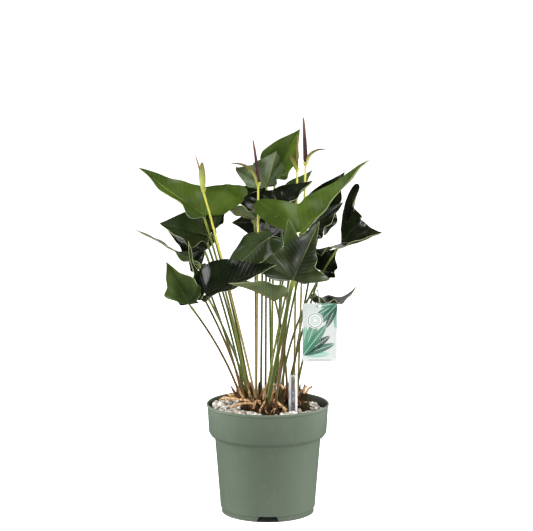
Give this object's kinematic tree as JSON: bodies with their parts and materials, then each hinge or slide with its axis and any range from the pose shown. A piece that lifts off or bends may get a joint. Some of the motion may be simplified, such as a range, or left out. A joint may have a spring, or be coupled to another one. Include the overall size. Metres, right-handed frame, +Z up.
{
  "type": "potted arrow anthurium",
  "caption": "Arrow-leaved anthurium with glossy three-lobed leaves and thin upright spadices, growing from a bed of pumice in a round grow pot with a water gauge and a care tag.",
  "frame": {"origin": "on the pot's axis, at the underside of the flat disc in the middle of its floor", "axes": "+Z up along the pot's axis, +X to the right seen from the front, +Y away from the front"},
  "size_m": [0.4087, 0.2963, 0.6803],
  "materials": {
    "leaf_bright": "glossy young leaf, yellow-green with paler veins",
    "leaf_dark": "glossy old leaf, near black green",
    "leaf_olive": "satin grey-green leaf",
    "flower_stem": "satin, yellow above and brown below",
    "spadix_dark": "matte, purple-brown",
    "spadix_ochre": "matte, ochre",
    "crown": "dry fibrous sheaths and roots, brown and tan",
    "pot": "satin moulded plastic, grey-green",
    "substrate": "rough off-white and beige pumice grains",
    "gauge_tube": "clear",
    "gauge_rod": "printed bands of brown and blue",
    "tag": "coated card with a printed pattern of leaves",
    "tag_thread": "thin grey thread"
  },
  "bodies": {
    "root": {"leaf_left_upper": "leaf_bright", "leaf_right_upper": "leaf_bright", "leaf_top": "leaf_bright", "leaf_top_left": "leaf_dark", "leaf_top_dark": "leaf_dark", "leaf_back_right": "leaf_olive", "leaf_right_back": "leaf_dark", "leaf_right_far": "leaf_dark", "leaf_back": "leaf_dark", "leaf_behind_left": "leaf_dark", "leaf_behind_right": "leaf_dark", "leaf_back_left": "leaf_olive", "leaf_middle": "leaf_olive", "leaf_left_cup": "leaf_dark", "leaf_left_low": "leaf_olive", "leaf_left_dark": "leaf_dark", "leaf_back_narrow": "leaf_dark", "leaf_olive": "leaf_olive", "leaf_edge": "leaf_olive", "leaf_front_left": "leaf_dark", "leaf_front": "leaf_olive", "leaf_front_right": "leaf_dark", "leaf_inner": "leaf_olive", "leaf_right_low": "leaf_dark", "leaf_right_tag": "leaf_dark", "flower_stem_left": "flower_stem", "flower_stem_middle": "flower_stem", "flower_stem_tall": "flower_stem", "flower_stem_short": "flower_stem", "spadix_left": "spadix_ochre", "spadix_middle": "spadix_dark", "spadix_tall": "spadix_dark", "spadix_short": "spadix_ochre", "crown_left": "crown", "crown_middle": "crown", "crown_right": "crown", "crown_stub": "crown", "pot": "pot", "substrate": "substrate", "gauge_tube": "gauge_tube", "gauge_rod": "gauge_rod", "tag": "tag", "tag_thread": "tag_thread"}
  },
  "joints": []
}
